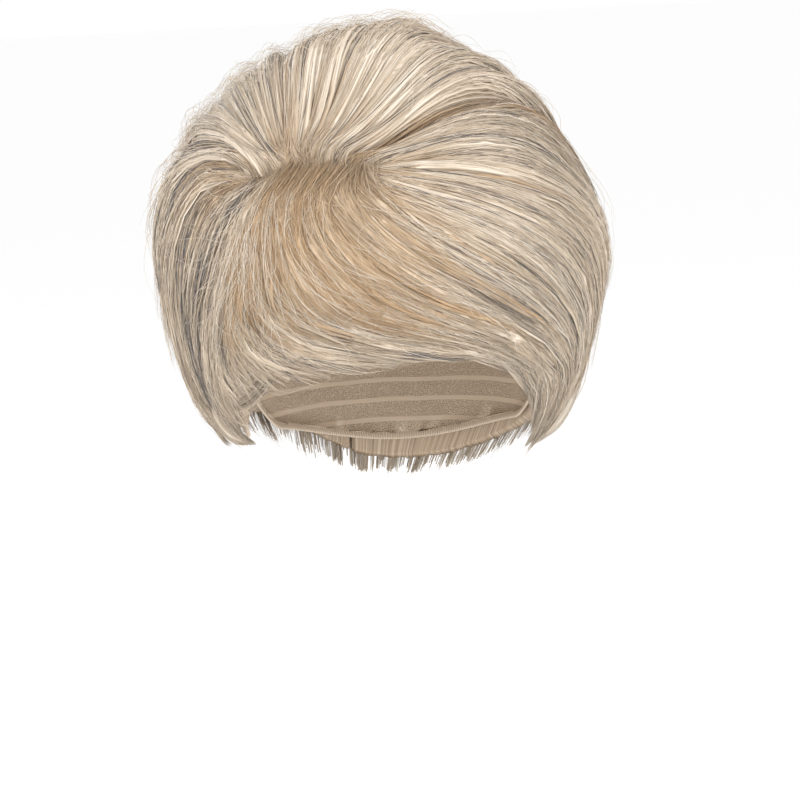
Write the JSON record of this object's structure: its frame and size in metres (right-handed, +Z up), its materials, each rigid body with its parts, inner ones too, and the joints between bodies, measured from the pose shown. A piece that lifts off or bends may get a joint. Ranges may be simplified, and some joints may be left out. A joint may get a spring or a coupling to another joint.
{
  "type": "short layered wig",
  "caption": "Short full wig with an off-centre parting, a swept fringe, high layered crown and tapered nape on a hollow cap.",
  "frame": {"origin": "where the crown of a head meets the inside of the cap, the point that carries the wig", "axes": "+Z up, -Y out of the face opening, +X towards the left of the head that wears it"},
  "size_m": [0.2206, 0.2389, 0.2331],
  "materials": {
    "cap_net": "matte stretch net with sewn rows of hair",
    "hair": "soft satin fibre, ash blonde with cream lights, golden roots and grey streaks"
  },
  "bodies": {
    "root": {"cap": "cap_net", "right_side_hair": "hair", "right_crown_hair": "hair", "nape_hair": "hair", "left_crown_hair": "hair", "left_sweep_hair": "hair", "fringe_sweep_hair": "hair", "fringe_tip_hair": "hair"}
  },
  "joints": []
}
